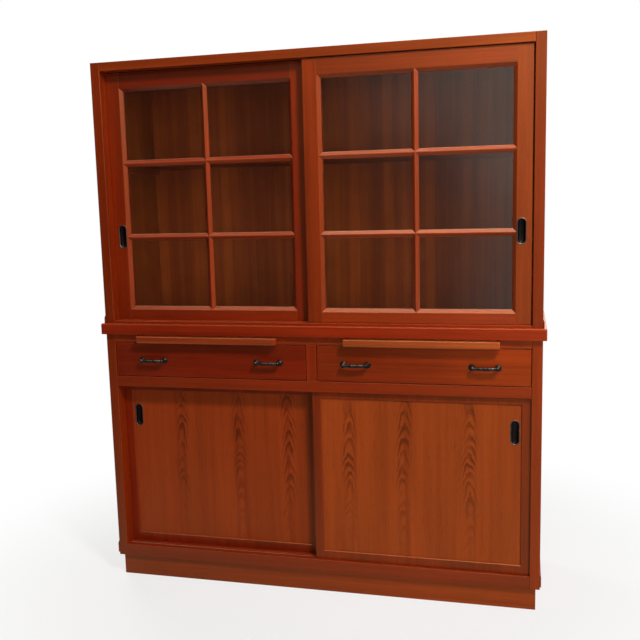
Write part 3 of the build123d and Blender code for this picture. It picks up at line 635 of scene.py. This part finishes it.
def makeGlass(values):
    material, tree, shader = startMaterial("doorGlass")
    place = objectPlace(tree)
    touch = useGroup(tree, handling, {"Vector": place, "Scale": values["smears"]})
    dust = maths(tree, "MULTIPLY", touch["Smear"], values["dustShare"])
    waves = noise(tree, squeezed(tree, place, values["waveSqueeze"]), values["waves"], values["waveDetail"])
    fillInputs(tree, shader, {
        "Base Color": mixColours(tree, dust, screenColour(*values["tint"]), screenColour(*values["dust"])),
        "Roughness": spread(tree, touch["Smear"], 0.0, values["roughest"]),
        "Normal": bumped(tree, waves, values["bump"], values["bumpDepth"]),
        "Transmission Weight": 1.0,
        "IOR": values["index"],
    })
    passed = (values["lampShare"],) * 3 + (1.0,)
    shade = addNode(tree, "ShaderNodeBsdfTransparent", {"Color": passed}).outputs[0]
    lampRay = addNode(tree, "ShaderNodeLightPath").outputs["Is Shadow Ray"]
    both = addNode(tree, "ShaderNodeMixShader", {0: lampRay, 1: shader.outputs[0], 2: shade}).outputs[0]
    tree.links.new(both, tree.nodes["Material Output"].inputs["Surface"])
    return material


doorGlass = makeGlass(glassFinish)
for side in ("left", "right"):
    giveMaterial(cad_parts[f"upper_door_{side}_glass"], doorGlass)
print("glass and backs finished")

# Metals: blackened iron that is rubbed bright where fingers go, and dark pewter with a bright rim
ironFinish = {
    "dark": (14, 11, 10), "rubbedAndHighlight": (150, 140, 132), "metal": 0.85, "smooth": 0.20, "rough": 0.42,
    "edge": 0.0007, "smears": 90.0, "wornRange": (0.10, 0.70),
    "dents": 420.0, "bump": 0.35, "bumpDepth": 0.0005,
}
pullFinish = {
    "dark": (6, 5, 5), "rubbedAndHighlight": (104, 84, 76), "metal": 0.90, "smooth": 0.24, "rough": 0.40,
    "edge": 0.0005, "smears": 70.0, "wornRange": (0.55, 1.0),
    "dents": 650.0, "bump": 0.15, "bumpDepth": 0.0003,
    "rimFront": 0.0001, "cupDepth": 0.002, "rimWear": 0.85, "cupWear": 0.05,
}


def rubbedShare(tree, place, edge, smear, values, face):
    if face is None:
        return maths(tree, "MULTIPLY", smear, spread(tree, edge["Mask"], *values["wornRange"]))
    # the rim in front of the door's face is worn, and the cup behind it is not
    front, back = face - values["rimFront"], face + values["cupDepth"]
    proud = remap(tree, splitAxes(tree, place)["Y"], front, back, values["rimWear"], values["cupWear"])
    return maths(tree, "MULTIPLY", proud, spread(tree, smear, *values["wornRange"]))


def makeMetal(name, values, face=None):
    material, tree, shader = startMaterial(name)
    place = objectPlace(tree)
    edge = useGroup(tree, edgeWearAndHighlight, {"Radius": values["edge"]})
    smear = useGroup(tree, handling, {"Vector": place, "Scale": values["smears"]})["Smear"]
    share = rubbedShare(tree, place, edge, smear, values, face)
    dents = noise(tree, place, values["dents"])
    fillInputs(tree, shader, {
        "Base Color": mixColours(tree, share, screenColour(*values["dark"]), screenColour(*values["rubbedAndHighlight"])),
        "Roughness": spread(tree, smear, values["rough"], values["smooth"]),
        "Normal": bumped(tree, dents, values["bump"], values["bumpDepth"], edge["Normal"]),
        "Metallic": values["metal"],
    })
    return material


blackIron = makeMetal("blackIron", ironFinish)


# Modelling helpers: a round face is drawn out step by step, as on a lathe
def startRound(name, vertices, radius, place, turn):
    bpy.ops.object.select_all(action="DESELECT")
    bpy.ops.mesh.primitive_circle_add(
        vertices=vertices, radius=radius, fill_type="NGON", location=place, rotation=turn)
    piece = bpy.context.object
    piece.name = name
    bpy.ops.object.transform_apply(location=True, rotation=True, scale=True)
    bpy.ops.object.mode_set(mode="EDIT")
    bpy.ops.mesh.select_mode(type="FACE")
    bpy.ops.mesh.select_all(action="SELECT")
    return piece


def drawOut(centre, axis, profile, radius):
    # profile holds the distance along the axis and the radius there, one pair for each ring
    reached = 0.0
    for distance, newRadius in profile:
        move = axis * (distance - reached)
        bpy.ops.mesh.extrude_region_move(TRANSFORM_OT_translate={"value": move})
        middle = centre + axis * distance
        bpy.ops.transform.resize(value=(newRadius / radius,) * 3, center_override=middle)
        reached, radius = distance, newRadius
    bpy.ops.object.mode_set(mode="OBJECT")


def closeShape(piece, smoothAngle):
    bpy.ops.object.mode_set(mode="EDIT")
    bpy.ops.mesh.select_all(action="SELECT")
    bpy.ops.mesh.normals_make_consistent(inside=False)
    bpy.ops.object.mode_set(mode="OBJECT")
    bpy.ops.object.shade_smooth_by_angle(angle=math.radians(smoothAngle))


def placeCopy(piece, name, place):
    copy = piece.copy()
    copy.data = piece.data.copy()
    copy.name = name
    bpy.context.collection.objects.link(copy)
    bpy.ops.object.select_all(action="DESELECT")
    copy.select_set(True)
    bpy.context.view_layer.objects.active = copy
    copy.location = place
    bpy.ops.object.transform_apply(location=True, rotation=True, scale=True)
    return copy


def joinPieces(pieces):
    bpy.ops.object.select_all(action="DESELECT")
    for piece in pieces:
        piece.select_set(True)
    bpy.context.view_layer.objects.active = pieces[0]
    bpy.ops.object.join()
    return pieces[0]


# Bow pulls of the drawers: two turned rosettes on posts carry a beaded bar that swells forward
bowPull = {
    "spacing": 0.075, "reach": 0.0165, "swell": 0.0045,
    "rosetteSides": 32, "barSides": 20, "smoothAngle": 38,
    # distance from the drawer's face and radius
    "rosette": [(0.0012, 0.0100), (0.0020, 0.0094), (0.0022, 0.0086), (0.0017, 0.0080), (0.0017, 0.0068),
                (0.0030, 0.0062), (0.0036, 0.0052), (0.0042, 0.0040), (0.0075, 0.0030), (0.0110, 0.0030),
                (0.0140, 0.0038), (0.0175, 0.0036)],
    # half the bar, from its middle outwards: distance from the middle and radius
    "bar": [(0.0008, 0.0062), (0.0020, 0.0059), (0.0026, 0.0049), (0.0034, 0.0056), (0.0044, 0.0056),
            (0.0052, 0.0049), (0.0070, 0.0057), (0.0120, 0.0058), (0.0180, 0.0056), (0.0230, 0.0052),
            (0.0264, 0.0049), (0.0272, 0.0061), (0.0286, 0.0065), (0.0300, 0.0061), (0.0308, 0.0050),
            (0.0322, 0.0057), (0.0340, 0.0068), (0.0365, 0.0072), (0.0390, 0.0062), (0.0408, 0.0038),
            (0.0415, 0.0012)],
}


def modelRosette(values, side):
    firstRadius = values["rosette"][0][1]
    centre = Vector((side * values["spacing"] / 2, 0.0, 0.0))
    turn = (math.radians(90), 0.0, 0.0)
    rosette = startRound("rosette", values["rosetteSides"], firstRadius, centre, turn)
    drawOut(centre, Vector((0.0, -1.0, 0.0)), values["rosette"], firstRadius)
    closeShape(rosette, values["smoothAngle"])
    return rosette


def modelBar(values):
    half = values["bar"]
    length = half[-1][0]
    rings = [(length - distance, radius) for distance, radius in reversed(half)]
    rings += [(length + distance, radius) for distance, radius in half]
    start = Vector((-length, 0.0, 0.0))
    bar = startRound("bar", values["barSides"], rings[0][1], start, (0.0, math.radians(90), 0.0))
    drawOut(start, Vector((1.0, 0.0, 0.0)), rings[1:], rings[0][1])
    closeShape(bar, values["smoothAngle"])
    bend = bar.modifiers.new("swell", "SIMPLE_DEFORM")
    bend.deform_method = "BEND"
    bend.deform_axis = "Z"
    bend.angle = 4 * values["swell"] / length      # a shallow arc's turn, from its rise and half its length
    bpy.ops.object.modifier_apply(modifier=bend.name)
    bar.location.y = -values["reach"] - values["swell"]
    bpy.ops.object.transform_apply(location=True, rotation=True, scale=True)
    return bar


def addBowPulls(values):
    pattern = joinPieces([modelBar(values), modelRosette(values, -1), modelRosette(values, 1)])
    halfWidth = values["spacing"] / 2 + values["rosette"][0][1]
    for side in ("left", "right"):
        low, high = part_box(f"drawer_{side}_pulls")
        height = (low[2] + high[2]) / 2
        pair = [placeCopy(pattern, f"bowPulls.{side}", (across, high[1], height))
                for across in (low[0] + halfWidth, high[0] - halfWidth)]
        pulls = joinPieces(pair)
        pulls.name = f"bowPulls.{side}"
        giveMaterial(pulls, blackIron)
        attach(pulls, f"drawer_{side}")
        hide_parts(f"drawer_{side}_pulls")
    bpy.data.objects.remove(pattern)
    print("bow pulls modelled")


addBowPulls(bowPull)

# Flush pulls of the doors: an oval cup with a rolled rim
flushPull = {
    "length": 0.076, "width": 0.028, "sides": 48, "smoothAngle": 40,
    "proud": 0.0008,         # how far the rim stands in front of the door
    "rimBack": 0.0003, "wall": 0.0022, "depth": 0.0092,
    # each step is an inset and how far it comes forward
    "rim": [(0.0003, 0.00025), (0.0007, 0.00020), (0.0009, 0.0), (0.0008, -0.00030), (0.0006, -0.0006)],
    "cup": [(0.0004, -0.0014), (0.0007, -0.0040), (0.0010, -0.0018), (0.0016, -0.0008)],
}


def modelFlushPull(values):
    radius = values["width"] / 2
    # half a step's turn leaves no vertex on the line where the oval is pulled apart
    turn = (math.radians(90), math.pi / values["sides"], 0.0)
    pull = startRound("flushPull", values["sides"], radius, (0.0, 0.0, 0.0), turn)
    straight = (values["length"] - values["width"]) / 2
    for way in (-1, 1):
        bpy.ops.mesh.select_mode(type="VERT")
        bpy.ops.mesh.select_all(action="DESELECT")
        bpy.ops.object.mode_set(mode="OBJECT")
        for vertex in pull.data.vertices:
            vertex.select = vertex.co.z * way > 0.0
        bpy.ops.object.mode_set(mode="EDIT")
        bpy.ops.transform.translate(value=(0.0, 0.0, way * straight))
    bpy.ops.mesh.select_mode(type="FACE")
    bpy.ops.mesh.select_all(action="SELECT")
    bpy.ops.mesh.extrude_region_move(TRANSFORM_OT_translate={"value": (0.0, -values["rimBack"], 0.0)})
    for thickness, forward in values["rim"] + values["cup"]:
        bpy.ops.mesh.inset(thickness=thickness, depth=forward)
    bpy.ops.object.mode_set(mode="OBJECT")
    # the cup's outside, drawn back from the face that lies against the door
    for polygon in pull.data.polygons:
        polygon.select = polygon.normal.y > 0.9 and polygon.center.y > -0.0001
    bpy.ops.object.mode_set(mode="EDIT")
    bpy.ops.mesh.inset(thickness=values["wall"], depth=0.0)
    bpy.ops.mesh.extrude_region_move(TRANSFORM_OT_translate={"value": (0.0, values["depth"], 0.0)})
    bpy.ops.object.mode_set(mode="OBJECT")
    closeShape(pull, values["smoothAngle"])
    return pull


def addFlushPulls(values):
    pattern = modelFlushPull(values)
    for storey in ("upper", "lower"):
        for side in ("left", "right"):
            node = f"{storey}_door_{side}_pull"
            low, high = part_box(node)
            face = low[1] + values["proud"]
            place = ((low[0] + high[0]) / 2, face, (low[2] + high[2]) / 2)
            pull = placeCopy(pattern, f"flushPull.{storey}.{side}", place)
            giveMaterial(pull, makeMetal(f"pullMetal.{storey}.{side}", pullFinish, face))
            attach(pull, f"{storey}_door_{side}")
            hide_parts(node)
    bpy.data.objects.remove(pattern)
    print("flush pulls modelled")


addFlushPulls(flushPull)

# Soft lamps: none shows through the glass, and only the key lamp is mirrored
lamps = {
    "key": {"place": (1.5, -1.9, 3.0), "aim": (0.1, -0.15, 0.95), "size": 0.45, "power": 73.0,
            "mirrored": True},
    "side": {"place": (2.3, -2.2, 1.3), "aim": (0.0, -0.15, 0.9), "size": 1.3, "power": 17.0,
             "mirrored": False},
    "back": {"place": (-2.4, 1.9, 2.3), "aim": (0.0, 0.2, 0.8), "size": 1.4, "power": 44.0,
             "mirrored": False},
}


def addLamp(name, values):
    place, aim = Vector(values["place"]), Vector(values["aim"])
    turn = (aim - place).to_track_quat("-Z", "Y").to_euler()
    bpy.ops.object.light_add(type="AREA", location=place, rotation=turn)
    lamp = bpy.context.object
    lamp.name = name + "Lamp"
    lamp.data.shape = "DISK"
    lamp.data.size = values["size"]
    lamp.data.energy = values["power"]
    lamp.visible_transmission = False
    lamp.visible_glossy = values["mirrored"]


# The floor turns white around the cabinet. Each range here and below says where along an axis a change
# starts and ends, and the values there.
white = (1.0, 1.0, 1.0, 1.0)
floorValues = {
    "size": 14.0, "tone": (232, 230, 227), "whiteByDistance": (0.6, 1.6, 0.72, 1.0),
    # in front of the cabinet the lacquer mirrors a dim room: where it starts, and how bright it is
    # near the cabinet and towards the right
    "front": {"Y": (-0.5, -1.2, 0.0, 1.0)},
    "near": {"Y": (-3.2, -0.8, 0.05, 0.40)},
    "right": {"X": (-0.5, 0.7, 0.0, 0.95)},
}


def alongAxes(tree, axes, ranges):
    result = None
    for axis, numbers in ranges.items():
        share = remap(tree, axes[axis], *numbers)
        result = share if result is None else maths(tree, "MULTIPLY", result, share)
    return result


def mirroredRay(tree, path):
    # rays that pass through the glass count as glossy too, so both are asked
    return maths(tree, "MULTIPLY", path["Is Glossy Ray"], path["Is Reflection Ray"])


def makeFloor(values):
    bpy.ops.mesh.primitive_plane_add(size=values["size"], location=(0.0, 0.0, 0.0))
    floor = bpy.context.object
    floor.name = "studioFloor"
    material, tree, shader = startMaterial("paleFloor")
    tree.nodes.remove(shader)
    matt = addNode(tree, "ShaderNodeBsdfDiffuse", {"Color": screenColour(*values["tone"])}).outputs[0]
    pure = addNode(tree, "ShaderNodeEmission", {"Color": white, "Strength": 1.0}).outputs[0]
    path = addNode(tree, "ShaderNodeLightPath").outputs
    place = objectPlace(tree)
    reflected = mirroredRay(tree, path)
    fade = remap(tree, vectorMaths(tree, "LENGTH", place, out=1), *values["whiteByDistance"])
    share = maths(tree, "MULTIPLY", fade, maths(tree, "MAXIMUM", path["Is Camera Ray"], reflected))
    both = addNode(tree, "ShaderNodeMixShader", {0: share, 1: matt, 2: pure}).outputs[0]
    axes = splitAxes(tree, place)
    near, right, front = (alongAxes(tree, axes, values[name]) for name in ("near", "right", "front"))
    brightness = maths(tree, "MAXIMUM", near, right)
    dim = addNode(tree, "ShaderNodeEmission", {"Color": white, "Strength": brightness}).outputs[0]
    front = maths(tree, "MULTIPLY", front, reflected)
    both = addNode(tree, "ShaderNodeMixShader", {0: front, 1: both, 2: dim}).outputs[0]
    tree.links.new(both, tree.nodes["Material Output"].inputs["Surface"])
    giveMaterial(floor, material)


# The surround is white to the camera. The lacquer and the glass mirror a room in it, and the boards behind
# the glass get a light of their own. Here the axes are those of the direction in which a ray leaves.
surround = {
    "behind": {"Y": (-0.15, 0.45, 0.0, 1.0)},
    "window": {"Z": (0.11, 0.22, 0.0, 4.0), "X": (-0.24, 0.02, 0.15, 1.0)},
    "overhead": {"Z": (0.50, 0.92, 0.0, 9.0), "Y": (0.20, -0.05, 0.0, 1.0), "X": (-0.40, 0.0, 0.35, 1.0)},
    "wall": {"X": (-0.28, 0.06, 0.02, 1.70), "Z": (-0.06, 0.16, 0.45, 1.30)},
    "wallEnd": {"X": (0.20, 0.50, 1.0, 0.50)},
    # low down the wall's light gathers towards the right
    "low": {"X": (-0.12, -0.01, -0.55, 0.60), "Z": (0.02, 0.11, 1.0, 0.0)},
    "lowEnd": {"X": (0.02, 0.12, 1.60, 1.0)},
    "inside": {"X": (0.15, 0.75, 2.5, 12.0), "Z": (-0.04, 0.25, 1.0, 0.15)},
    "ambient": {"Y": (-0.10, 0.60, 0.04, 0.45)},
    "warmth": (1.0, 0.90, 0.80, 1.0),
}


def makeSurround(values):
    world = bpy.data.worlds.new("studioSurround")
    bpy.context.scene.world = world
    world.use_nodes = True
    tree = world.node_tree
    path = addNode(tree, "ShaderNodeLightPath").outputs
    way = splitAxes(tree, addNode(tree, "ShaderNodeTexCoord").outputs["Generated"])
    part = {name: alongAxes(tree, way, ranges) for name, ranges in values.items() if name != "warmth"}

    gathered = maths(tree, "MINIMUM", maths(tree, "ADD", part["low"], 1.0), part["lowEnd"])
    room = maths(tree, "MULTIPLY", maths(tree, "MULTIPLY", part["wall"], part["wallEnd"]), gathered)
    for name in ("behind", "window", "overhead"):
        room = maths(tree, "MAXIMUM", room, part[name])
    reflected = mirroredRay(tree, path)
    mirrored = maths(tree, "MULTIPLY", room, reflected)

    # only rays that leave a board have a diffuse bounce behind them
    fromBoard = maths(tree, "GREATER_THAN", path["Diffuse Depth"], 0.5)
    inside = maths(tree, "MULTIPLY", fromBoard, part["inside"])
    through = maths(tree, "MAXIMUM", part["behind"], inside)
    through = maths(tree, "MULTIPLY", through, path["Is Transmission Ray"])
    seen = maths(tree, "MAXIMUM", path["Is Camera Ray"], maths(tree, "MAXIMUM", mirrored, through))
    fillInputs(tree, tree.nodes["Background"], {
        "Strength": maths(tree, "MAXIMUM", seen, part["ambient"]),
        "Color": mixColours(tree, reflected, white, values["warmth"]),
    })


makeFloor(floorValues)
makeSurround(surround)
for lampName, lampValues in lamps.items():
    addLamp(lampName, lampValues)
print("studio ready")
